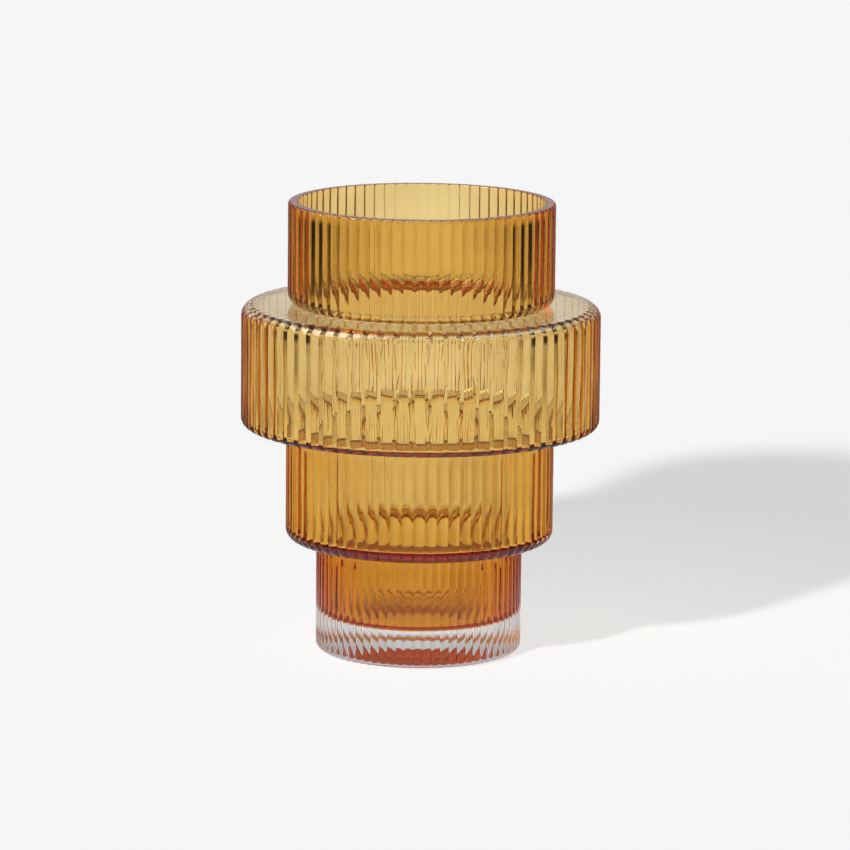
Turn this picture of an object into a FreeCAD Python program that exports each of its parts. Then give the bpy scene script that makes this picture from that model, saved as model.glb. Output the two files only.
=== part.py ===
import FreeCAD, Part
import math
import os
import re
import Sketcher

# A stepped, ribbed flower vase in cased glass.  Four tiers stand on one axis: a mouth, a wide
# drum, a waist and a foot with a heavy base.  Every tier has an amber lining, which is the first
# gather, and a clear casing over it, which carries the moulded ribs.  Lining and casing are fused
# all over, and each tier is fused to the next on a flat ring.  The frame stands on the ground
# under the foot: origin on the axis, Z up, millimetres.

# ---------------------------------------------------------------- driving dimensions
SIZES = {
    # the whole vase
    "rib_count": 72,            # ribs round every tier
    "rib_land": 0.04,           # how far a rib's round would stand past the crest, which leaves a land
    "lip_round": 2.2,           # rounding of the glass where one hollow opens into the next
    "hollow_fillet": 2.0,       # rounding in the inner corners of every hollow
    # mouth
    "mouth_radius": 73.5,       # over the rib crests
    "mouth_height": 57.0,
    "mouth_wall": 5.8,          # crest to hollow
    "mouth_lining": 2.0,        # amber share of that wall
    "mouth_rib_depth": 1.3,
    "mouth_corner": 6.5,        # rounding of its lower edge, down to the drum
    "mouth_floor": 2.8,         # glass under the mouth's inner ledge
    "rim_round": 1.6,           # polished outer edge of the rim
    "rim_bead": 0.8,            # polished inner edge of the rim, on the amber
    "neck_wall": 3.0,           # glass between the notch under the mouth and the neck opening
    # drum
    "drum_radius": 99.0,
    "drum_height": 67.5,
    "drum_wall": 4.2,
    "drum_lining": 0.9,
    "drum_rib_depth": 1.8,
    "drum_shoulder": 6.5,       # rounding of its upper edge
    "drum_hem": 4.5,            # rounding of its lower edge
    "drum_crown": 2.8,          # thickness of its flat top
    "drum_floor": 2.8,          # thickness of its flat underside
    # waist
    "waist_radius": 74.0,
    "waist_height": 63.5,
    "waist_wall": 5.6,
    "waist_lining": 1.3,
    "waist_rib_depth": 1.3,
    "waist_corner": 5.6,
    "waist_floor": 3.6,
    # foot
    "foot_radius": 57.0,
    "foot_height": 62.0,
    "foot_wall": 9.5,
    "foot_lining": 2.2,
    "foot_rib_depth": 0.85,
    "foot_edge": 4.0,           # rounding of the edge that it stands on
    "foot_base": 19.5,          # solid clear glass under the amber
    "foot_bowl": 3.0,           # rounding of the hollow where wall and bottom meet
    "punt_radius": 48.0,        # edge of the shallow dome in the underside
    "punt_rise": 5.2,           # height of that dome at the axis
}

doc = FreeCAD.newDocument("ribbed_vase")
sheet = doc.addObject("Spreadsheet::Sheet", "Sizes")
for row, (alias, value) in enumerate(SIZES.items(), start=1):
    sheet.set(f"A{row}", alias)
    sheet.set(f"B{row}", str(value))
    sheet.setAlias(f"B{row}", alias)
doc.recompute()

# ---------------------------------------------------------------- helpers
FULL_TURN = 360.0
UP = FreeCAD.Vector(0, 0, 1)
START, END, CENTRE = 1, 2, 3        # the named points of a sketched line or arc
ORIGIN, X_AXIS, Y_AXIS = -1, -1, -2 # the sketch's own origin point and its two axes
FLANK_REACH = 0.9                   # share of half a pitch over which a rib's flank is cut


def size(text):
    """Write an expression in the sheet's aliases, such as 'mouth_radius - mouth_wall', in full."""
    return re.sub(r"[a-z_]+", lambda word: f"Sizes.{word[0]}" if word[0] in SIZES else word[0], text)


def value(text):
    """The number that an expression has now, to draw a sketch near its final place."""
    return float(sheet.evalExpression(size(text)))


def origin_feature(body, role):
    return next(item for item in body.Origin.OriginFeatures if item.Role == role)


def new_sketch(body, name, plane):
    sketch = body.newObject("Sketcher::SketchObject", name)
    sketch.AttachmentSupport = [(origin_feature(body, plane), "")]
    sketch.MapMode = "FlatFace"
    return sketch


def bind(sketch, constraint, text):
    """Add a size constraint and tie it to the sheet."""
    index = sketch.addConstraint(constraint)
    sketch.setExpression(f"Constraints[{index}]", size(text))


def circle_arc(centre, first, last):
    """The arc round 'centre' that runs anticlockwise from the point 'first' to 'last'."""
    begin = math.atan2(first.y - centre.y, first.x - centre.x)
    finish = math.atan2(last.y - centre.y, last.x - centre.x)
    if finish < begin:
        finish += 2 * math.pi
    return Part.ArcOfCircle(Part.Circle(centre, UP, (first - centre).Length), begin, finish)


def draw_outline(sketch, corners):
    """Draw a closed outline of level and upright edges.

    Each corner is (radius, height, rounding): where its sharp point lies and how it is rounded,
    as expressions, with None for a sharp one.  Each edge is tied to the sheet by its own radius
    or height, and each arc by its rounding, so a changed size moves only what it names.
    """
    count = len(corners)
    points = [FreeCAD.Vector(value(r), value(z), 0) for r, z, _ in corners]
    rounds = [0.0 if rounding is None else value(rounding) for _, _, rounding in corners]
    runs = [(points[(i + 1) % count] - points[i]).normalize() for i in range(count)]
    starts = [points[i] + runs[i] * rounds[i] for i in range(count)]
    ends = [points[(i + 1) % count] - runs[i] * rounds[(i + 1) % count] for i in range(count)]
    edges = [sketch.addGeometry(Part.LineSegment(a, b), False) for a, b in zip(starts, ends)]
    for i, edge in enumerate(edges):
        (r, z, _), (r_after, _, _) = corners[i], corners[(i + 1) % count]
        if r == r_after:
            sketch.addConstraint(Sketcher.Constraint("Vertical", edge))
            from_axis = ("DistanceX", ORIGIN, START, edge, START, starts[i].x)
            if r == "0":
                sketch.addConstraint(Sketcher.Constraint("PointOnObject", edge, START, Y_AXIS))
            else:
                bind(sketch, Sketcher.Constraint(*from_axis), r)
        else:
            sketch.addConstraint(Sketcher.Constraint("Horizontal", edge))
            from_ground = ("DistanceY", ORIGIN, START, edge, START, starts[i].y)
            if z == "0":
                sketch.addConstraint(Sketcher.Constraint("PointOnObject", edge, START, X_AXIS))
            else:
                bind(sketch, Sketcher.Constraint(*from_ground), z)
    for i, (_, _, rounding) in enumerate(corners):
        before = edges[i - 1]
        if rounding is None:
            sketch.addConstraint(Sketcher.Constraint("Coincident", before, END, edges[i], START))
            continue
        into, out = runs[i - 1], runs[i]
        centre = points[i] - into * rounds[i] + out * rounds[i]
        turns_left = into.cross(out).z > 0
        tips = (ends[i - 1], starts[i]) if turns_left else (starts[i], ends[i - 1])
        arc = sketch.addGeometry(circle_arc(centre, *tips), False)
        first, last = (START, END) if turns_left else (END, START)
        sketch.addConstraint(Sketcher.Constraint("Tangent", before, END, arc, first))
        sketch.addConstraint(Sketcher.Constraint("Tangent", arc, last, edges[i], START))
        bind(sketch, Sketcher.Constraint("Radius", arc, rounds[i]), rounding)


def turned(name, corners, lift):
    """A body of revolution with the half outline 'corners', standing 'lift' above the ground."""
    body = doc.addObject("PartDesign::Body", name)
    body.Label = name
    if lift != "0":
        body.setExpression("Placement.Base.z", size(lift))
    sketch = new_sketch(body, name + "_outline", "XZ_Plane")
    draw_outline(sketch, corners)
    turn = body.newObject("PartDesign::Revolution", name + "_turn")
    turn.Profile = sketch
    turn.ReferenceAxis = (sketch, ["V_Axis"])
    turn.Angle = FULL_TURN
    doc.recompute()
    return body


def dome_under(body, radius, rise):
    """Hollow a body's underside with a shallow dome, and leave a flat ring round it to stand on.

    The dome is part of a sphere.  Its arc starts on the ground at 'radius' and ends on the axis
    at 'rise', and its centre lies on the axis, far below the ground.
    """
    name = body.Label
    edge = FreeCAD.Vector(value(radius), 0, 0)
    top = FreeCAD.Vector(0, value(rise), 0)
    sphere = (edge.x ** 2 + top.y ** 2) / (2 * top.y)
    centre = FreeCAD.Vector(0, top.y - sphere, 0)

    sketch = new_sketch(body, name + "_dome", "XZ_Plane")
    dome = sketch.addGeometry(circle_arc(centre, edge, top), False)
    axis = sketch.addGeometry(Part.LineSegment(top, FreeCAD.Vector()), False)
    ground = sketch.addGeometry(Part.LineSegment(FreeCAD.Vector(), edge), False)
    for constraint in (
            ("Coincident", dome, END, axis, START),
            ("Coincident", axis, END, ground, START),
            ("Coincident", ground, END, dome, START),
            ("Coincident", axis, END, ORIGIN, START),
            ("PointOnObject", dome, END, Y_AXIS),
            ("PointOnObject", dome, START, X_AXIS),
            ("PointOnObject", dome, CENTRE, Y_AXIS)):
        sketch.addConstraint(Sketcher.Constraint(*constraint))
    bind(sketch, Sketcher.Constraint("DistanceX", ORIGIN, START, dome, START, edge.x), radius)
    bind(sketch, Sketcher.Constraint("DistanceY", ORIGIN, START, dome, END, top.y), rise)

    cut = body.newObject("PartDesign::Groove", name + "_dome_cut")
    cut.Profile = sketch
    cut.ReferenceAxis = (sketch, ["V_Axis"])
    cut.Angle = FULL_TURN
    doc.recompute()


def flute(body, radius, depth, height):
    """Cut the valleys between the ribs round a turned body.

    A rib is round across.  Its face is part of a circle, which meets the next rib's in a sharp
    valley, 'depth' below the crest.  With the valley on the X axis, the circle's centre lies half
    a rib pitch to the side, at the one distance from the vase's axis that makes the circle pass
    through both the valley and the crest.
    """
    name = body.Label
    half_pitch = "(180 deg / rib_count)"
    crest = f"({radius} + rib_land)"
    valley = f"({radius} - {depth})"
    distance = f"({crest} ^ 2 - {valley} ^ 2) / (2 * ({crest} - {valley} * cos{half_pitch}))"
    centre_x, centre_y = f"{distance} * cos{half_pitch}", f"{distance} * sin{half_pitch}"
    reach = f"{FLANK_REACH} * {radius} * sin{half_pitch}"
    outside = f"{radius} + {depth}"

    centre = FreeCAD.Vector(value(centre_x), value(centre_y), 0)
    bottom = FreeCAD.Vector(value(valley), 0, 0)
    rib_round = (bottom - centre).Length
    rise = value(reach)
    tip = FreeCAD.Vector(centre.x + math.sqrt(rib_round ** 2 - (rise - centre.y) ** 2), rise, 0)
    far = FreeCAD.Vector(value(outside), rise, 0)

    def mirrored(point):
        return FreeCAD.Vector(point.x, -point.y, 0)

    sketch = new_sketch(body, name + "_valley", "XY_Plane")
    upper = sketch.addGeometry(circle_arc(centre, bottom, tip), False)
    lower = sketch.addGeometry(circle_arc(mirrored(centre), mirrored(tip), bottom), False)
    above = sketch.addGeometry(Part.LineSegment(tip, far), False)
    outer = sketch.addGeometry(Part.LineSegment(far, mirrored(far)), False)
    below = sketch.addGeometry(Part.LineSegment(mirrored(far), mirrored(tip)), False)
    for constraint in (
            ("Coincident", lower, END, upper, START),
            ("PointOnObject", upper, START, X_AXIS),
            ("Symmetric", upper, CENTRE, lower, CENTRE, X_AXIS),
            ("Symmetric", outer, START, outer, END, X_AXIS),
            ("Coincident", upper, END, above, START),
            ("Coincident", above, END, outer, START),
            ("Coincident", outer, END, below, START),
            ("Coincident", below, END, lower, START),
            ("Horizontal", above),
            ("Horizontal", below)):
        sketch.addConstraint(Sketcher.Constraint(*constraint))
    bind(sketch, Sketcher.Constraint("DistanceX", ORIGIN, START, upper, START, bottom.x), valley)
    bind(sketch, Sketcher.Constraint("DistanceX", ORIGIN, START, upper, CENTRE, centre.x), centre_x)
    bind(sketch, Sketcher.Constraint("DistanceY", ORIGIN, START, upper, CENTRE, centre.y), centre_y)
    bind(sketch, Sketcher.Constraint("DistanceY", ORIGIN, START, upper, END, rise), reach)
    bind(sketch, Sketcher.Constraint("DistanceX", ORIGIN, START, outer, START, far.x), outside)

    cut = body.newObject("PartDesign::Pocket", name + "_valley_cut")
    cut.Profile = sketch
    cut.Reversed = True                     # upward, through the tier
    cut.setExpression("Length", size(height))
    ribs = body.newObject("PartDesign::PolarPattern", name + "_ribs")
    ribs.Originals = [cut]
    ribs.Axis = (sketch, ["N_Axis"])
    ribs.Angle = FULL_TURN
    ribs.setExpression("Occurrences", size("rib_count"))
    body.Tip = ribs


# ---------------------------------------------------------------- heights and shared radii
WAIST_LEVEL = "foot_height"
DRUM_LEVEL = "foot_height + waist_height"
MOUTH_LEVEL = "foot_height + waist_height + drum_height"

NECK_OPENING = "mouth_radius - mouth_corner - neck_wall"
MOUTH_HOLLOW = "mouth_radius - mouth_wall"
DRUM_HOLLOW = "drum_radius - drum_wall"
WAIST_HOLLOW = "waist_radius - waist_wall"
FOOT_HOLLOW = "foot_radius - foot_wall"


def layers(hollow, lining):
    """The hollow's own corners, and the same corners moved 'lining' into the glass.

    A corner is (radius, height, rounding, way): 'way' gives which side the glass is on, outward
    or inward for the radius, up or down for the height.  Its last number says how the rounding
    changes with that move: 1 where it grows, -1 where it shrinks, 0 where the corner is sharp.
    """
    inner, outer = [], []
    for r, z, rounding, (r_way, z_way, round_way) in hollow:
        inner.append((r, z, rounding))
        outer.append((f"{r} + {lining}" if r_way else r,
                      f"{z} {'+' if z_way > 0 else '-'} {lining}" if z_way else z,
                      f"{rounding} {'+' if round_way > 0 else '-'} {lining}" if round_way else None))
    return inner, outer


# Where the glass lies at a corner of a hollow (radius, height), and how its rounding changes.
AXIS_END = (0, -1, 0)       # on the axis, with the glass below
LIP_END = (1, 0, 0)         # where a tier's glass is joined to the next tier's, or ends at the rim
LEDGE_LIP = (1, -1, -1)     # the bulging edge of a ledge, with its glass below
LEDGE_FOOT = (1, -1, 1)     # the inner corner where a wall rises from a ledge
CROWN_FOOT = (1, 1, 1)      # the inner corner under the drum's top
CROWN_LIP = (1, 1, -1)      # the bulging edge of the drum's top


def tier(name, hollow, lining, outside, lift):
    """One tier of the vase: the amber lining of its hollow, and the clear casing over it."""
    inner, seam = layers(hollow, lining)
    lining_body = turned(name + "_lining", inner + seam[::-1], lift)
    casing_body = turned(name + "_casing", seam + outside, lift)
    return lining_body, casing_body

# ---------------------------------------------------------------- mouth
# An open cup with a polished rim.  Its lower edge turns in to a notch, where it sits on the drum,
# and inside a ledge closes it to the neck opening.
mouth_lining, mouth_casing = tier(
    "mouth",
    [(NECK_OPENING, "0", None, LIP_END),
     (NECK_OPENING, "mouth_floor", "lip_round", LEDGE_LIP),
     (MOUTH_HOLLOW, "mouth_floor", "hollow_fillet", LEDGE_FOOT),
     (MOUTH_HOLLOW, "mouth_height", "rim_bead", LIP_END)],
    "mouth_lining",
    [("mouth_radius", "mouth_height", "rim_round"),
     ("mouth_radius", "0", "mouth_corner")],
    MOUTH_LEVEL)
flute(mouth_casing, "mouth_radius", "mouth_rib_depth", "mouth_height")

# ---------------------------------------------------------------- drum
# The wide tier, blown thinnest and so the palest.  Its flat top and underside are plates that
# reach in to the neck opening above and to the waist's hollow below.
drum_lining, drum_casing = tier(
    "drum",
    [(WAIST_HOLLOW, "0", None, LIP_END),
     (WAIST_HOLLOW, "drum_floor", "lip_round", LEDGE_LIP),
     (DRUM_HOLLOW, "drum_floor", "hollow_fillet", LEDGE_FOOT),
     (DRUM_HOLLOW, "drum_height - drum_crown", "hollow_fillet", CROWN_FOOT),
     (NECK_OPENING, "drum_height - drum_crown", "lip_round", CROWN_LIP),
     (NECK_OPENING, "drum_height", None, LIP_END)],
    "drum_lining",
    [("drum_radius", "drum_height", "drum_shoulder"),
     ("drum_radius", "0", "drum_hem")],
    DRUM_LEVEL)
flute(drum_casing, "drum_radius", "drum_rib_depth", "drum_height")

# ---------------------------------------------------------------- waist
waist_lining, waist_casing = tier(
    "waist",
    [(FOOT_HOLLOW, "0", None, LIP_END),
     (FOOT_HOLLOW, "waist_floor", "lip_round", LEDGE_LIP),
     (WAIST_HOLLOW, "waist_floor", "hollow_fillet", LEDGE_FOOT),
     (WAIST_HOLLOW, "waist_height", None, LIP_END)],
    "waist_lining",
    [("waist_radius", "waist_height", None),
     ("waist_radius", "0", "waist_corner")],
    WAIST_LEVEL)
flute(waist_casing, "waist_radius", "waist_rib_depth", "waist_height")

# ---------------------------------------------------------------- foot
# The amber ends in a round-bottomed cup, and under it the clear casing is a heavy solid base.
# A shallow dome hollows the underside, so that the vase stands on a ring and doesn't rock.
AXIS = "0"
foot_lining, foot_casing = tier(
    "foot",
    [(AXIS, "foot_base + foot_lining", None, AXIS_END),
     (FOOT_HOLLOW, "foot_base + foot_lining", "foot_bowl", LEDGE_FOOT),
     (FOOT_HOLLOW, "foot_height", None, LIP_END)],
    "foot_lining",
    [("foot_radius", "foot_height", None),
     ("foot_radius", "0", "foot_edge"),
     (AXIS, "0", None)],
    "0")
dome_under(foot_casing, "punt_radius", "punt_rise")
flute(foot_casing, "foot_radius", "foot_rib_depth", "foot_height")

# ---------------------------------------------------------------- check and write
doc.recompute()
for item in doc.Objects:
    wrong = [state for state in item.State if state in ("Invalid", "Error")]
    if wrong:
        raise RuntimeError(f"{item.Name} is {wrong}")

os.makedirs("parts", exist_ok=True)
PIECES = (mouth_lining, mouth_casing, drum_lining, drum_casing,
          waist_lining, waist_casing, foot_lining, foot_casing)
for piece in PIECES:
    if piece.Shape.isNull() or not piece.Shape.isValid():
        raise RuntimeError(f"{piece.Label} has no valid shape")
for piece in PIECES:
    piece.Shape.exportStep(f"parts/{piece.Label}.step")
    print(piece.Label, "volume", round(piece.Shape.Volume), "solids", len(piece.Shape.Solids))
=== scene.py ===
# %% [markdown]
# # A ribbed vase of amber glass under clear glass
#
# The vase is blown in four steps: a mouth, a wide drum, a waist and a foot with a thick clear
# base.  A glassblower gathers amber glass first, dips it in clear glass, and presses the clear
# skin into fine upright ribs.  So there are two sorts of piece here: a clear body that holds
# the whole outside, and a thin amber lining in each tier that gives all the colour.
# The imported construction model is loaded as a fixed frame, and every place comes from it.

# %% Load the frame
import math

import bpy
import numpy as np
from mathutils import Matrix, Vector


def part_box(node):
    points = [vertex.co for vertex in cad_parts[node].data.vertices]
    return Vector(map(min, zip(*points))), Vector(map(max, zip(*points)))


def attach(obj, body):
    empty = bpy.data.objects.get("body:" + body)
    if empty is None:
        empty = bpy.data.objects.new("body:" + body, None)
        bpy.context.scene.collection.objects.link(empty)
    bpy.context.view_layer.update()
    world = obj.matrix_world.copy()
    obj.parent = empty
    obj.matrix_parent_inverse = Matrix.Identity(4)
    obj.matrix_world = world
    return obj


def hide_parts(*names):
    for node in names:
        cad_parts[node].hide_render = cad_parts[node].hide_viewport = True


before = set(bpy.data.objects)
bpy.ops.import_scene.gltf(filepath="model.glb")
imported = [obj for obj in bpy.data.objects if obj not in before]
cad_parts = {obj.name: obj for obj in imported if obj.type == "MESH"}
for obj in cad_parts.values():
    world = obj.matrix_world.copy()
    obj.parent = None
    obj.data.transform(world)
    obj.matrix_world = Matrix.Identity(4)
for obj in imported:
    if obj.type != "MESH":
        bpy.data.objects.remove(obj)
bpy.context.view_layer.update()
print("frame nodes:", sorted(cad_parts))

# %% [markdown]
# ## Sizes
#
# Heights and radii are read from the frame's nodes.  A casing's box gives its tier's height and
# nearly the radius on the ribs' crests, and a lining's box the radius where amber meets clear.  What a
# box can't show, such as the thickness of the amber and the roundings, is named here in
# millimetres, as the drawing of a vase would give it.

# %% Read the tiers from the frame
MM = 0.001
TIERS = ("mouth", "drum", "waist", "foot")


def tier_sizes(tier):
    """Lowest level, highest level, radius over the ribs and outer radius of the amber, in mm."""
    low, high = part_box(tier + "_casing")
    amber_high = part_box(tier + "_lining")[1]
    return low.z / MM, high.z / MM, high.x / MM, amber_high.x / MM


SIZE = {tier: tier_sizes(tier) for tier in TIERS}
GROUND, WAIST_LEVEL, DRUM_LEVEL, MOUTH_LEVEL = (SIZE[t][0] for t in reversed(TIERS))
RIM_LEVEL = SIZE["mouth"][1]
MOUTH_R, DRUM_R, WAIST_R, FOOT_R = (SIZE[t][2] for t in TIERS)
for tier in TIERS:
    print(tier, "levels and radii in mm:", [round(v, 2) for v in SIZE[tier]])

# %% Thicknesses and roundings
DRAWN = {"mouth": 2.0, "drum": 0.9, "waist": 1.3, "foot": 2.2}       # lining, as in the frame
AMBER = {"mouth": 1.58, "drum": 0.88, "waist": 1.3, "foot": 1.95}    # how deep it is coloured
MOUTH_HOLLOW, DRUM_HOLLOW, WAIST_HOLLOW, FOOT_HOLLOW = (SIZE[t][3] - DRAWN[t] for t in TIERS)
MOUTH_CREST = 73.5               # radius of the mouth on the crest of a rib
MOUTH_CORNER = 6.5               # rounding of the mouth's lower edge
NECK_WALL = 3.0                  # glass between the notch under the mouth and the neck opening
NECK = MOUTH_CREST - MOUTH_CORNER - NECK_WALL
PLATE, WAIST_PLATE = 2.8, 5.2    # glass of the level parts: ledge, drum's top and floor; waist
BASE = 19.5                      # clear glass under the amber of the foot
MOUTH_LEDGE = MOUTH_LEVEL + PLATE
DRUM_CEILING = MOUTH_LEVEL - PLATE
DRUM_FLOOR = DRUM_LEVEL + PLATE
WAIST_FLOOR = WAIST_LEVEL + WAIST_PLATE
FOOT_FLOOR = BASE + DRAWN["foot"]

# roundings inside: lips where a hollow opens into the next, corners, and the foot's bowl
LIP, WAIST_LIP, FOOT_LIP = 2.2, 2.7, 3.0
FILLET, HEM_FILLET, BOWL = 2.0, 2.4, 3.0
# roundings outside, and the two flats beside the rim's own roundings
RIM_ROUND, RIM_BEAD = 1.6, 0.8
RIM_FLAT_OUT, RIM_FLAT_IN = 2.4, 1.6
SHOULDER, HEM, WAIST_CORNER, FOOT_EDGE = 6.5, 4.5, 5.6, 4.0
PUNT_R, PUNT_RISE = 48.0, 5.2    # the shallow dome in the underside: its edge and its height

# %% Rib sizes
RIB_COUNT = 72
RIB_DEPTH = {"mouth": 1.0, "drum": 1.8, "waist": 1.3, "foot": 1.0}
RIB_POWER = {"mouth": 3.6, "drum": 4.4, "waist": 3.6, "foot": 2.6}       # flatness of a rib's face
RIB_LEAN = {"mouth": 0.04, "drum": 0.12, "waist": 0.05, "foot": 0.05}    # in degrees
RIB_FADE = (0.02, 0.20)          # radial part of the normal where the ribs start and are full

# %% [markdown]
# ## A profile with rounded corners
#
# Every piece is turned, so each begins as a half outline in the plane of radius and height.
# Only its corners are listed, each with its rounding.  The helper walks along the outline and
# lays points on the straight runs and on the arcs, and keeps the outward direction at every
# point, because ribs and unevenness are laid off along it.

# %% Outline helper


def outline(corners, run_step, arc_steps):
    """Points and left-hand normals along an open outline of (radius, height, rounding) corners.

    A corner with rounding k between unit directions u and w is replaced by the arc that starts
    k tan(turn / 2) before it, ends as far after it, and is centred k to the inner side.  A corner
    with no rounding keeps its point and takes the mean of the two normals beside it.
    """
    point = np.array([c[:2] for c in corners], float)
    rounding = np.array([c[2] or 0.0 for c in corners])
    run = np.diff(point, axis=0)
    direction = run / np.linalg.norm(run, axis=1)[:, None]
    turn = np.zeros(len(corners))
    cross = direction[:-1, 0] * direction[1:, 1] - direction[:-1, 1] * direction[1:, 0]
    turn[1:-1] = np.arctan2(cross, (direction[:-1] * direction[1:]).sum(1))
    trim = rounding * np.tan(np.abs(turn) / 2)
    places, normals = [], []

    def add(place, heading):
        places.append(place)
        normals.append(np.stack([-np.sin(heading), np.cos(heading)], -1))

    for i in range(len(run)):
        heading = math.atan2(direction[i, 1], direction[i, 0])
        begin = point[i] + direction[i] * trim[i]
        end = point[i + 1] - direction[i] * trim[i + 1]
        steps = max(1, math.ceil(np.linalg.norm(end - begin) / run_step))
        share = np.linspace(0, 1, steps + 1)
        add(begin + (end - begin) * share[:, None], np.full(len(share), heading))
        if i + 1 < len(run) and rounding[i + 1]:
            side = math.copysign(1, turn[i + 1])
            angle = heading + turn[i + 1] * np.linspace(0, 1, arc_steps + 1)[1:-1]
            left = np.array([-direction[i, 1], direction[i, 0]])
            centre = end + left * side * rounding[i + 1]
            away = np.stack([np.sin(angle), -np.cos(angle)], -1) * side
            add(centre + away * rounding[i + 1], angle)
    place, normal = np.concatenate(places), np.concatenate(normals)
    keep = np.ones(len(place), bool)
    keep[1:] = np.linalg.norm(np.diff(place, axis=0), axis=1) > 1e-6
    return place[keep], normal[keep]


# %% [markdown]
# ## Hand-made unevenness
#
# Blown glass is never true.  The hollow swells and dips by less than a tenth of a millimetre, and
# the ribs lean a little where the maker turned the pipe.  Both are sums of a few long sine
# waves of the angle and the height, so that they close round the vase without a seam.

# %% Swell and lean


def swell(angle, height):
    """Sum of three sine waves of angle and height, in mm, at most 0.07 either way."""
    return (0.030 * np.sin(3 * angle + height / 31 + 0.4)
            + 0.020 * np.sin(7 * angle - height / 23 + 1.9)
            + 0.015 * np.sin(13 * angle + height / 17 + 4.1))


def lean(angle, height):
    """How far a rib wanders sideways, in radians for each degree of RIB_LEAN: three sine waves."""
    return np.radians(np.sin(2 * angle + height / 23)
                      + 0.8 * np.sin(11 * angle - height / 9 + 2.2)
                      + 0.7 * np.sin(29 * angle + height / 6 + 0.7))


# %% [markdown]
# ## Ribs
#
# A rib's face is nearly flat.  It bends away only beside its edges, where it meets the next
# rib's in a narrow valley.  The wave below is a power of the distance from the crest, so it is
# 0 on the crest and 1 in the valley.  The higher the power, the flatter the face.

# %% Rib wave


def rib_wave(angle, power):
    """0 on a crest and 1 in a valley, at each angle: |s|^power, s running -1 to 1 over a rib."""
    pitch = 2 * math.pi / RIB_COUNT
    s = (angle / pitch + 0.5) % 1 * 2 - 1
    return np.abs(s) ** power


# %% [markdown]
# ## The clear body
#
# All the clear glass is one closed surface, as on the real vase: the hollow inside, the rim, and
# the ribbed outside down to the underside.  Light bends only where glass meets air, so the
# casings of the four tiers are one piece here, with no surface left between them.  The hollow
# has fewer columns than the ribbed side, and the two are stitched on the flat of the rim.

# %% Inside and outside outlines
HOLLOW = [(0.0, FOOT_FLOOR, None),
          (FOOT_HOLLOW, FOOT_FLOOR, BOWL),
          (FOOT_HOLLOW, WAIST_FLOOR, FOOT_LIP),
          (WAIST_HOLLOW, WAIST_FLOOR, FILLET),
          (WAIST_HOLLOW, DRUM_FLOOR, WAIST_LIP),
          (DRUM_HOLLOW, DRUM_FLOOR, HEM_FILLET),
          (DRUM_HOLLOW, DRUM_CEILING, FILLET),
          (NECK, DRUM_CEILING, LIP),
          (NECK, MOUTH_LEDGE, LIP),
          (MOUTH_HOLLOW, MOUTH_LEDGE, FILLET),
          (MOUTH_HOLLOW, RIM_LEVEL, RIM_BEAD),
          (MOUTH_HOLLOW + RIM_FLAT_IN, RIM_LEVEL, None)]
OUTSIDE = [(MOUTH_R - RIM_FLAT_OUT, RIM_LEVEL, None),
           (MOUTH_R, RIM_LEVEL, RIM_ROUND),
           (MOUTH_R, MOUTH_LEVEL, MOUTH_CORNER),
           (MOUTH_R - MOUTH_CORNER, MOUTH_LEVEL, None),
           (DRUM_R, MOUTH_LEVEL, SHOULDER),
           (DRUM_R, DRUM_LEVEL, HEM),
           (WAIST_R, DRUM_LEVEL, None),
           (WAIST_R, WAIST_LEVEL, WAIST_CORNER),
           (FOOT_R, WAIST_LEVEL, None),
           (FOOT_R, GROUND, FOOT_EDGE),
           (PUNT_R, GROUND, None),
           (0.0, GROUND, None)]

# %% Rib depth along the outside


def smooth(value, low, high):
    """0 below low, 1 above high, and the cubic 3s^2 - 2s^3 between."""
    s = np.clip((value - low) / (high - low), 0, 1)
    return s * s * (3 - 2 * s)


def rib_share(place, normal):
    """How deep the ribs are at each outline point, from 0 to 1, and which tier the point is on.

    A tier's ribs run over its whole outer wall and round its edges, and fade where the surface
    turns level, so the share follows the radial part of the normal.
    """
    radius, height = place.T
    facing = np.abs(normal[:, 0])
    share = smooth(facing, *RIB_FADE)
    owner = np.select([height > MOUTH_LEVEL + 0.01, height > DRUM_LEVEL + 0.01,
                       height > WAIST_LEVEL + 0.01], [0, 1, 2], 3)
    return share, owner


# %% Mesh helpers


def grid_faces(rows, columns, offset=0):
    """Quads of a grid whose columns close into a ring, wound so that they face the left normal."""
    row = np.arange(rows - 1)[:, None]
    column = np.arange(columns)[None, :]
    after = (column + 1) % columns
    quads = np.stack([row * columns + column, (row + 1) * columns + column,
                      (row + 1) * columns + after, row * columns + after], -1)
    return (quads.reshape(-1, 4) + offset).tolist()


def make_mesh(name, vertices, faces, crease_degrees=32):
    """A mesh object from vertices in mm, shaded smooth but for edges sharper than the crease."""
    mesh = bpy.data.meshes.new(name)
    mesh.from_pydata((vertices * MM).tolist(), [], faces)
    mesh.validate()
    mesh.shade_smooth()
    mesh.set_sharp_from_angle(angle=math.radians(crease_degrees))
    obj = bpy.data.objects.new(name, mesh)
    bpy.context.scene.collection.objects.link(obj)
    mesh.calc_loop_triangles()
    print(name, "triangles:", len(mesh.loop_triangles))
    return obj


# %% Build the clear body
RIB_COLUMNS = 8                  # columns to a rib
HOLLOW_COLUMNS = 288
HOLLOW_STEPS = (7.0, 5)           # longest straight step in mm, and steps to a rounding
OUTSIDE_STEPS = (5.2, 8)
CALM_BELOW_RIM, CALM_NEAR_AXIS = (0.5, 6.0), (1.0, 12.0)    # mm over which the swell sets in
OUTSIDE_COLUMNS = RIB_COUNT * RIB_COLUMNS


def ring_angles(columns):
    return np.arange(columns) * (2 * math.pi / columns)


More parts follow.
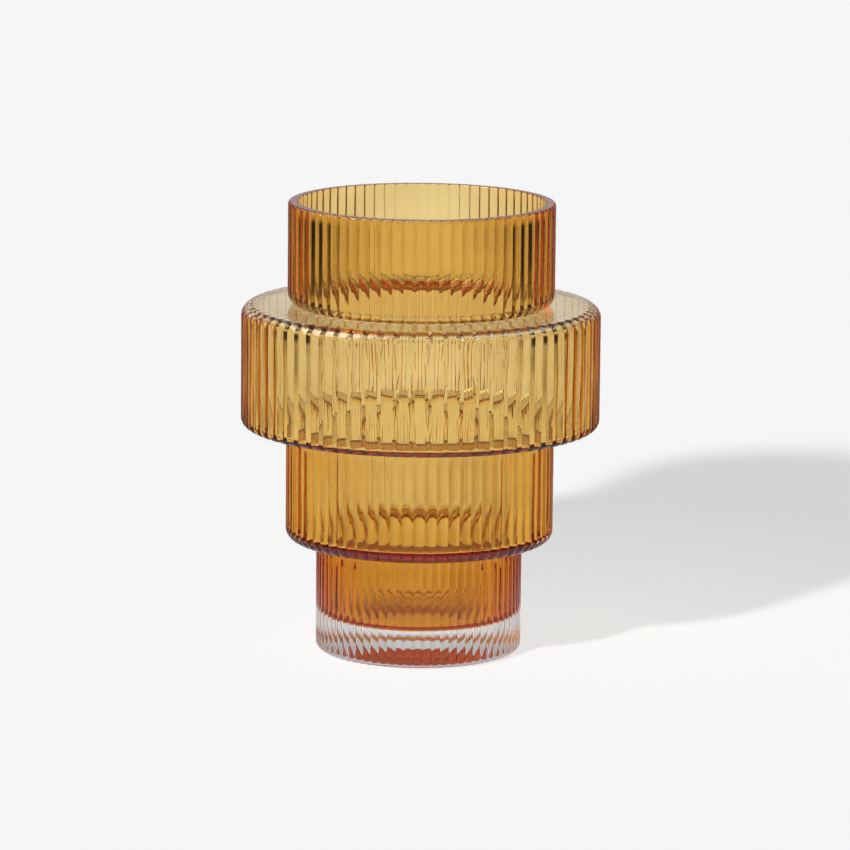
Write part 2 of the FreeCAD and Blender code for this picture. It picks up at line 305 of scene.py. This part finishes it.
def rib_angles():
    """Angles of the outside's columns: on each rib they crowd toward the valleys.

    With u running from -1 to 1 over a rib, a column lies at sign(u) (1 - (1 - |u|)^1.8).
    """
    pitch = 2 * math.pi / RIB_COUNT
    u = np.arange(RIB_COLUMNS) * 2 / RIB_COLUMNS - 1
    across = np.sign(u) * (1 - (1 - np.abs(u)) ** 1.8)
    return (pitch * (np.arange(RIB_COUNT)[:, None] + 0.5 + across[None, :] / 2)).ravel()


def hollow_surface(place, normal, columns):
    """Turn an outline of the hollow and push each point into the glass by the swell.

    The point at angle p and outline step i moves against its normal n_i, by the swell at p and
    its height.  The swell is nil on the rim and on the axis, where it would tear.
    """
    angle = ring_angles(columns)[None, :]
    radius, height = place[:, :1], place[:, 1:]
    calm = smooth(RIM_LEVEL - height, *CALM_BELOW_RIM) * smooth(radius, *CALM_NEAR_AXIS)
    push = swell(angle, height) * calm
    r = radius - normal[:, :1] * push
    z = height - normal[:, 1:] * push
    return np.stack([r * np.cos(angle), r * np.sin(angle), z + 0 * angle], -1)


def clear_body():
    """The hollow, the rim's flat and the ribbed outside, as one closed mesh.

    An outside point lies at r - n_r c and z - n_z c, c being share x depth x rib wave.  Inside
    its edge the underside is a cap of the sphere of radius (R^2 + h^2) / 2h.
    """
    inner, inner_normal = outline(HOLLOW, *HOLLOW_STEPS)
    outer, outer_normal = outline(OUTSIDE, *OUTSIDE_STEPS)
    inside = hollow_surface(inner[1:], inner_normal[1:], HOLLOW_COLUMNS)

    angle = rib_angles()[None, :]
    share, owner = rib_share(outer[:-1], outer_normal[:-1])
    depth = np.array([RIB_DEPTH[t] for t in TIERS])[owner]
    waves = np.stack([rib_wave(angle[0], RIB_POWER[t]) for t in TIERS])[owner]
    cut = (share * depth)[:, None] * waves
    radius, height = outer[:-1, :1], outer[:-1, 1:]
    normal = outer_normal[:-1]
    r = radius - normal[:, :1] * cut
    z = height - normal[:, 1:] * cut
    wander = np.array([RIB_LEAN[t] for t in TIERS])[owner] * share
    turned = angle + lean(angle, height) * wander[:, None]
    sphere = (PUNT_R ** 2 + PUNT_RISE ** 2) / (2 * PUNT_RISE)
    under = (height <= GROUND + 1e-6) & (radius < PUNT_R)
    dome = np.sqrt(sphere ** 2 - np.minimum(radius, PUNT_R) ** 2) - sphere + PUNT_RISE
    z = z + np.where(under, dome, 0)
    outside = np.stack([r * np.cos(turned), r * np.sin(turned), z], -1)

    n_in, n_out = len(inside), len(outside)
    axis_in = np.array([[0, 0, FOOT_FLOOR]])
    axis_out = np.array([[0, 0, GROUND + PUNT_RISE]])
    vertices = np.concatenate([axis_in, inside.reshape(-1, 3), outside.reshape(-1, 3), axis_out])
    start_out = 1 + n_in * HOLLOW_COLUMNS
    faces = grid_faces(n_in, HOLLOW_COLUMNS, 1)
    faces += grid_faces(n_out, OUTSIDE_COLUMNS, start_out)

    near = np.arange(HOLLOW_COLUMNS)
    near_after = (near + 1) % HOLLOW_COLUMNS
    faces += np.stack([np.zeros_like(near), near_after + 1, near + 1], -1)[:, ::-1].tolist()
    far = np.arange(OUTSIDE_COLUMNS)
    far_after = (far + 1) % OUTSIDE_COLUMNS
    last = start_out + (n_out - 1) * OUTSIDE_COLUMNS
    tip = np.full_like(far, len(vertices) - 1)
    faces += np.stack([last + far_after, last + far, tip], -1).tolist()

    rim = 1 + (n_in - 1) * HOLLOW_COLUMNS
    ratio = OUTSIDE_COLUMNS // HOLLOW_COLUMNS
    faces += np.stack([rim + far // ratio, start_out + far_after, start_out + far], -1)[:, ::-1].tolist()
    faces += np.stack([rim + near_after, rim + near, start_out + (near_after * ratio)], -1).tolist()
    return make_mesh("clear_body", vertices, faces)


body = clear_body()

# %% [markdown]
# ## The amber linings
#
# The amber is a closed shell inside each tier.  It lies a hair's breadth inside the clear
# surface, and its own surface is simply transparent: amber and clear glass bend light alike, so
# nothing may show where they meet.  The colour comes from the glass's thickness, as light is
# absorbed on its way through.  Soft amber gathers where one tier's floor turns down into the
# next, and is drawn thin round the neck and under the drum's top.

# %% Lining outlines
HAIR = 0.03                       # clear glass left between the amber and the hollow
# how many times as deep as its tier's own depth the amber is, where it thins or gathers
MOUTH_NECK_THIN, DRUM_NECK_THIN, DRUM_TOP_THIN, WAIST_FLOOR_THIN = 0.35, 0.2, 0.4, 0.6
DRUM_LIP_OUT, DRUM_LIP_DOWN = 2.0, 1.8
WAIST_NECK_OUT, WAIST_LIP_OUT, WAIST_LIP_DOWN = 2.4, 2.6, 2.2
FOOT_FLOOR_OUT, FOOT_FLOOR_DOWN = 1.3, 1.1

# each corner: radius, height, rounding; then how far out, how far up and how much rounder it
# gets for one step into the glass
LINING_OUTLINE = {
    "mouth": [(NECK, MOUTH_LEVEL, None, MOUTH_NECK_THIN, 0, 0),
              (NECK, MOUTH_LEDGE, LIP, MOUTH_NECK_THIN, -MOUTH_NECK_THIN, -MOUTH_NECK_THIN),
              (MOUTH_HOLLOW, MOUTH_LEDGE, FILLET, 1, -1, 1),
              (MOUTH_HOLLOW, RIM_LEVEL, None, 1, 0, 0)],
    "drum": [(WAIST_HOLLOW, DRUM_LEVEL, None, DRUM_LIP_OUT, 0, 0),
             (WAIST_HOLLOW, DRUM_FLOOR, WAIST_LIP, DRUM_LIP_OUT, -DRUM_LIP_DOWN, -1),
             (DRUM_HOLLOW, DRUM_FLOOR, HEM_FILLET, 1, -1, 1),
             (DRUM_HOLLOW, DRUM_CEILING, FILLET, 1, DRUM_TOP_THIN, 1),
             (NECK, DRUM_CEILING, LIP, DRUM_NECK_THIN, DRUM_NECK_THIN, -DRUM_NECK_THIN),
             (NECK, MOUTH_LEVEL, None, DRUM_NECK_THIN, 0, 0)],
    "waist": [(FOOT_HOLLOW, WAIST_LEVEL, None, WAIST_NECK_OUT, 0, 0),
              (FOOT_HOLLOW, WAIST_FLOOR, FOOT_LIP, WAIST_LIP_OUT, -WAIST_LIP_DOWN, -1),
              (WAIST_HOLLOW, WAIST_FLOOR, FILLET, 1, -WAIST_FLOOR_THIN, 1),
              (WAIST_HOLLOW, DRUM_LEVEL, None, 1, 0, 0)],
    "foot": [(0.0, FOOT_FLOOR, None, 0, -FOOT_FLOOR_DOWN, 0),
             (FOOT_HOLLOW, FOOT_FLOOR, BOWL, FOOT_FLOOR_OUT, -FOOT_FLOOR_DOWN, FOOT_FLOOR_DOWN),
             (FOOT_HOLLOW, WAIST_LEVEL, None, 1, 0, 0)]}


def moved(corners, step, end_gap):
    """The outline moved 'step' into the glass; its level ends stop 'end_gap' short."""
    out = []
    for i, (r, z, rounding, r_way, z_way, round_way) in enumerate(corners):
        z = z + z_way * step
        if z_way == 0:
            z += end_gap if i == 0 else -end_gap
        out.append((r + r_way * step, z, rounding and rounding + round_way * step))
    return out


def lining(tier):
    """A closed shell: the hollow's outline moved a hair into the glass, and moved by the amber."""
    corners = LINING_OUTLINE[tier]
    surfaces = []
    for step in (HAIR, AMBER[tier]):
        place, normal = outline(moved(corners, step, HAIR), *HOLLOW_STEPS)
        surfaces.append(hollow_surface(place, normal, HOLLOW_COLUMNS))
    near, away = surfaces[0], surfaces[1][::-1]
    columns = HOLLOW_COLUMNS
    closed = tier != "foot"
    if closed:
        loop = np.concatenate([near, away, near[:1]])
        vertices = loop[:-1].reshape(-1, 3)
        faces = np.array(grid_faces(len(loop), columns)) % len(vertices)
        faces = faces.tolist()
    else:
        loop = np.concatenate([near[1:], away[:-1]])
        vertices = np.concatenate([loop.reshape(-1, 3), near[0, :1], away[-1, :1]])
        faces = grid_faces(len(loop), columns)
        here = np.arange(columns)
        after = (here + 1) % columns
        top = np.full(columns, len(vertices) - 2)
        low = np.full(columns, len(vertices) - 1)
        last = (len(loop) - 1) * columns
        faces += np.stack([here, after, top], -1).tolist()
        faces += np.stack([last + after, last + here, low], -1).tolist()
    return make_mesh("amber_" + tier, vertices, faces)


linings = {tier: lining(tier) for tier in TIERS}

# %% [markdown]
# ## Glass
#
# Clear glass bends light by the usual 1.5 of soda glass.  The amber takes its colour from
# absorption: a little red, four times as much green and thirteen times as much blue for each
# millimetre, so that it is straw where it is thin and brown where it is thick.

# %% Clear glass


def new_material(name):
    material = bpy.data.materials.new(name)
    material.use_nodes = True
    nodes, links = material.node_tree.nodes, material.node_tree.links
    nodes.clear()
    return material, nodes, links, nodes.new("ShaderNodeOutputMaterial")


def clear_glass():
    """Clear polished glass with faint ripples."""
    material, nodes, links, output = new_material("clear_glass")
    glass = nodes.new("ShaderNodeBsdfPrincipled")
    glass.inputs["Base Color"].default_value = (1.0, 1.0, 1.0, 1.0)
    glass.inputs["Roughness"].default_value = 0.0
    glass.inputs["IOR"].default_value = 1.5
    glass.inputs["Transmission Weight"].default_value = 1.0
    place = nodes.new("ShaderNodeTexCoord")
    ripple = nodes.new("ShaderNodeTexNoise")
    ripple.inputs["Scale"].default_value = 110.0
    ripple.inputs["Detail"].default_value = 1.0
    links.new(place.outputs["Object"], ripple.inputs["Vector"])
    bump = nodes.new("ShaderNodeBump")
    bump.inputs["Strength"].default_value = 0.06
    bump.inputs["Distance"].default_value = 0.0004
    links.new(ripple.outputs["Fac"], bump.inputs["Height"])
    links.new(bump.outputs["Normal"], glass.inputs["Normal"])
    links.new(glass.outputs["BSDF"], output.inputs["Surface"])
    return material


# %% Amber glass
AMBER_COLOUR = (0.932, 0.724, 0.09, 1.0)
AMBER_DENSITY = 850.0             # per metre


def amber_glass():
    """Absorbing glass with no surface of its own, and faint upright streaks."""
    material, nodes, links, output = new_material("amber_glass")
    surface = nodes.new("ShaderNodeBsdfTransparent")
    place = nodes.new("ShaderNodeTexCoord")
    streak = nodes.new("ShaderNodeTexNoise")
    streak.inputs["Scale"].default_value = 40.0
    streak.inputs["Detail"].default_value = 3.0
    links.new(place.outputs["Object"], streak.inputs["Vector"])
    tint = nodes.new("ShaderNodeValToRGB")
    tint.color_ramp.elements[0].position = 0.35
    tint.color_ramp.elements[0].color = (0.97, 0.955, 0.93, 1.0)
    tint.color_ramp.elements[1].position = 0.65
    tint.color_ramp.elements[1].color = (1.0, 1.0, 1.0, 1.0)
    links.new(streak.outputs["Fac"], tint.inputs["Fac"])
    links.new(tint.outputs["Color"], surface.inputs["Color"])
    depth = nodes.new("ShaderNodeVolumeAbsorption")
    depth.inputs["Color"].default_value = AMBER_COLOUR
    depth.inputs["Density"].default_value = AMBER_DENSITY
    links.new(surface.outputs["BSDF"], output.inputs["Surface"])
    links.new(depth.outputs["Volume"], output.inputs["Volume"])
    return material


CLEAR, AMBER_GLASS = clear_glass(), amber_glass()
body.data.materials.append(CLEAR)
for piece in linings.values():
    piece.data.materials.append(AMBER_GLASS)

# %% Fasten the pieces to the frame
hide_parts(*(tier + "_casing" for tier in TIERS))
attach(body, "root")
for tier, piece in linings.items():
    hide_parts(tier + "_lining")
    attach(piece, "root")

# %% [markdown]
# ## Floor, light and camera
#
# The vase stands on a wide pale floor that fills the view.  A small bright lamp stands at the
# front left and throws the clear, stepped shadow back to the right.  A broad soft box high on
# the left lights the glass alone, so it adds no second shadow.  A few helpers that wire nodes come
# first, since the floor and the surroundings both need them.

# %% Node helpers


def feed(links, socket, source):
    """Join a node's output to a socket, or set the socket to a number."""
    if isinstance(source, (int, float)):
        socket.default_value = source
    else:
        links.new(source, socket)


def math_node(nodes, links, operation, first, second=0.0, clamp=False):
    """The output of a Math node with two inputs."""
    node = nodes.new("ShaderNodeMath")
    node.operation = operation
    node.use_clamp = clamp
    feed(links, node.inputs[0], first)
    feed(links, node.inputs[1], second)
    return node.outputs["Value"]


def map_range(nodes, links, source, numbers, smoothly=True):
    """The output of a Map Range node; numbers are from low, from high, to low and to high."""
    node = nodes.new("ShaderNodeMapRange")
    if smoothly:
        node.interpolation_type = "SMOOTHSTEP"
    for socket, number in zip(("From Min", "From Max", "To Min", "To Max"), numbers):
        node.inputs[socket].default_value = number
    links.new(source, node.inputs["Value"])
    return node.outputs["Result"]


def glow_node(nodes, links, strength):
    """The output of an Emission node of white light."""
    node = nodes.new("ShaderNodeEmission")
    feed(links, node.inputs["Strength"], strength)
    return node.outputs["Emission"]


def mix_node(nodes, links, share, first, second):
    """The output of a Mix Shader: the first shader where the share is 0, the second at 1."""
    node = nodes.new("ShaderNodeMixShader")
    feed(links, node.inputs["Fac"], share)
    links.new(first, node.inputs[1])
    links.new(second, node.inputs[2])
    return node.outputs["Shader"]


# %% [markdown]
# The lamp stands close, so its light is strongest right under it.  The floor's own tone falls
# off against that, from the lamp's cosine law, so that the floor looks even and only the shadow
# shows on it.  Most of the floor's light is a steady glow that no shadow takes away, a little
# less of it far from the vase, which sets how dark the shadow is.

# %% Floor values
LAMP_PLACE = Vector((-0.365, -0.660, 0.610))
LAMP_STRENGTH = 1.7              # irradiance of the lamp at upright incidence
FLOOR_HALF = 9.0
FLOOR_DROP = 0.0002
FLOOR_TONE = 0.921               # the floor's brightness in full light
# from distance, to distance, value at the first, value at the second:
GLOW = (0.12, 0.42, 0.81 * FLOOR_TONE, 0.715 * FLOOR_TONE)
# painted reflection: for rays that the glass mirrors, the floor glows at this brightness, bright near
# the vase and dim further off, which gives the glass's lower edges pale highlights
PAINTED_REFLECTION = (0.12, 0.30, 0.95, 0.16)    # the floor's brightness where the glass mirrors it
# painted shade: for glass alone, the floor to each side turns into a dim glow that stands for the
# studio's dark sides, while the eye still sees it pale
SWEEP_EDGE = (0.60, 1.45, 0.0, 1.0)    # to the side, the pale floor that glass shows ends
SWEEP_DARK = 0.03                      # and this brightness is beyond it

# %% Floor


def floor_material():
    """Diffuse tone and steady glow to the eye; painted shade through glass to the sides; a painted
    reflection glow in mirrors.
    """
    material, nodes, links, output = new_material("pale_floor")
    place = nodes.new("ShaderNodeTexCoord").outputs["Object"]
    path = nodes.new("ShaderNodeLightPath").outputs
    from_lamp = nodes.new("ShaderNodeVectorMath")
    from_lamp.operation = "DISTANCE"
    from_lamp.inputs[1].default_value = LAMP_PLACE
    links.new(place, from_lamp.inputs[0])
    from_axis = nodes.new("ShaderNodeVectorMath")
    from_axis.operation = "LENGTH"
    links.new(place, from_axis.inputs[0])
    away = from_axis.outputs["Value"]

    lamp_light = math_node(nodes, links, "DIVIDE", LAMP_STRENGTH * LAMP_PLACE.z / math.pi,
                           from_lamp.outputs["Value"])     # strength * h / d
    steady = map_range(nodes, links, away, GLOW, smoothly=False)
    left_to_lamp = math_node(nodes, links, "SUBTRACT", FLOOR_TONE, steady)
    paint = nodes.new("ShaderNodeBsdfDiffuse")
    links.new(math_node(nodes, links, "DIVIDE", left_to_lamp, lamp_light), paint.inputs["Color"])
    plain = nodes.new("ShaderNodeAddShader")
    links.new(paint.outputs["BSDF"], plain.inputs[0])
    links.new(glow_node(nodes, links, steady), plain.inputs[1])

    across = nodes.new("ShaderNodeSeparateXYZ")
    links.new(place, across.inputs["Vector"])
    aside = math_node(nodes, links, "ABSOLUTE", across.outputs["X"])
    # painted shade: away to the side, glass sees the floor as a dim glow, not as its pale tone
    past_edge = map_range(nodes, links, aside, SWEEP_EDGE)
    unseen = math_node(nodes, links, "SUBTRACT", past_edge, path["Is Camera Ray"], clamp=True)
    sweep = mix_node(nodes, links, unseen, plain.outputs["Shader"],
                     glow_node(nodes, links, SWEEP_DARK))

    # painted reflection: where glass mirrors the floor, it is a glow of set brightness by distance from
    # the axis
    painted_reflection = glow_node(nodes, links, map_range(nodes, links, away, PAINTED_REFLECTION, smoothly=False))
    in_mirror = math_node(nodes, links, "SUBTRACT", path["Is Glossy Ray"],
                          path["Is Transmission Ray"])
    links.new(mix_node(nodes, links, in_mirror, sweep, painted_reflection), output.inputs["Surface"])
    return material


def pale_floor():
    """A square floor just under the vase."""
    a, z = FLOOR_HALF, -FLOOR_DROP
    mesh = bpy.data.meshes.new("floor")
    mesh.from_pydata([(-a, -a, z), (a, -a, z), (a, a, z), (-a, a, z)], [], [(0, 1, 2, 3)])
    mesh.materials.append(floor_material())
    floor = bpy.data.objects.new("floor", mesh)
    bpy.context.scene.collection.objects.link(floor)


pale_floor()

# %% [markdown]
# Glass shows whatever surrounds it.  What it reflects and bends is a studio that is bright
# behind and overhead and falls off to a dim near side, which gives clear glass its dark edges.
# That studio adds nothing to the floor, and the eye sees the floor's own tone all round.

# %% Surroundings
# direction from, direction to, brightness at the first, brightness at the second
STUDIO_BEHIND = (0.33, 0.88, 0.07, 0.56)
STUDIO_OVERHEAD = (0.35, 0.85, 0.10, 0.70)
UNSCATTERED = 0.5                 # light that a matt surface hasn't scattered has a depth below


def surroundings():
    """World: a graded studio for glass, the floor's pale tone for the view, else dark."""
    world = bpy.data.worlds.new("studio")
    world.use_nodes = True
    bpy.context.scene.world = world
    nodes, links = world.node_tree.nodes, world.node_tree.links
    nodes.clear()
    output = nodes.new("ShaderNodeOutputWorld")
    way = nodes.new("ShaderNodeSeparateXYZ")
    links.new(nodes.new("ShaderNodeTexCoord").outputs["Generated"], way.inputs["Vector"])
    path = nodes.new("ShaderNodeLightPath").outputs
    behind = map_range(nodes, links, way.outputs["Y"], STUDIO_BEHIND)
    overhead = map_range(nodes, links, way.outputs["Z"], STUDIO_OVERHEAD)
    graded = math_node(nodes, links, "MAXIMUM", behind, overhead)
    by_glass = math_node(nodes, links, "MAXIMUM", path["Is Glossy Ray"],
                         path["Is Transmission Ray"])
    straight = math_node(nodes, links, "LESS_THAN", path["Diffuse Depth"], UNSCATTERED)
    seen = math_node(nodes, links, "MULTIPLY", by_glass, straight)
    studio, pale = (nodes.new("ShaderNodeBackground") for _ in range(2))
    for background in (studio, pale):
        background.inputs["Color"].default_value = (1.0, 1.0, 1.0, 1.0)
    links.new(math_node(nodes, links, "MULTIPLY", graded, seen), studio.inputs["Strength"])
    pale.inputs["Strength"].default_value = FLOOR_TONE
    links.new(mix_node(nodes, links, path["Is Camera Ray"], studio.outputs["Background"],
                       pale.outputs["Background"]), output.inputs["Surface"])


surroundings()

# %% Lamps
LAMP_RADIUS = 0.03
BOX_AZIMUTH, BOX_ELEVATION = 70.0, 49.0    # degrees from the front to the left, and up
BOX_DISTANCE, BOX_SIZE, BOX_BRIGHTNESS = 2.0, 1.5, 6.0
BOX_AIM = Vector((0.0, 0.0, 0.15))


def shadow_lamp():
    """A small ball of light that doesn't fade with distance, and that glass doesn't show."""
    light = bpy.data.lights.new("shadow_lamp", "POINT")
    light.shadow_soft_size = LAMP_RADIUS
    light.energy = 1.0
    light.use_nodes = True
    nodes, links = light.node_tree.nodes, light.node_tree.links
    fade = nodes.new("ShaderNodeLightFalloff")
    fade.inputs["Strength"].default_value = LAMP_STRENGTH * 4 * math.pi
    links.new(fade.outputs["Constant"], nodes["Emission"].inputs["Strength"])
    thing = bpy.data.objects.new("shadow_lamp", light)
    bpy.context.scene.collection.objects.link(thing)
    thing.location = LAMP_PLACE
    thing.visible_transmission = False
    thing.visible_glossy = False


def soft_box():
    """A disk lamp that the glass shows and the floor doesn't feel."""
    az, el = math.radians(BOX_AZIMUTH), math.radians(BOX_ELEVATION)
    place = Vector((-math.sin(az) * math.cos(el), -math.cos(az) * math.cos(el),
                    math.sin(el))) * BOX_DISTANCE
    turn = (BOX_AIM - place).to_track_quat("-Z", "Y").to_matrix().to_4x4()
    light = bpy.data.lights.new("soft_box", "AREA")
    light.shape = "DISK"
    light.size = BOX_SIZE
    light.energy = BOX_BRIGHTNESS * math.pi * (math.pi * BOX_SIZE ** 2 / 4)
    thing = bpy.data.objects.new("soft_box", light)
    bpy.context.scene.collection.objects.link(thing)
    thing.matrix_world = Matrix.Translation(place) @ turn
    thing.visible_diffuse = False


shadow_lamp()
soft_box()

# %% Light paths
cycles = bpy.context.scene.cycles
cycles.max_bounces = 32
cycles.transmission_bounces = 32
cycles.glossy_bounces = 16
cycles.transparent_max_bounces = 128
bpy.context.scene.view_settings.view_transform = "Standard"

# %% Camera
CAMERA_DISTANCE, CAMERA_HEIGHT = 2.7448, 0.6494
PITCH, YAW, ROLL = 0.1887, 0.0010, 0.0097        # radians: down, to the right, tilt
SENSOR_MM, LENS_MM = 36.0, 214.32

camera_data = bpy.data.cameras.new("camera")
camera_data.sensor_width = SENSOR_MM
camera_data.lens = LENS_MM
camera = bpy.data.objects.new("camera", camera_data)
bpy.context.scene.collection.objects.link(camera)
camera.matrix_world = (Matrix.Translation((0.0, -CAMERA_DISTANCE, CAMERA_HEIGHT))
                       @ Matrix.Rotation(-YAW, 4, "Z")
                       @ Matrix.Rotation(math.pi / 2 - PITCH, 4, "X")
                       @ Matrix.Rotation(ROLL, 4, "Z"))
bpy.context.scene.camera = camera
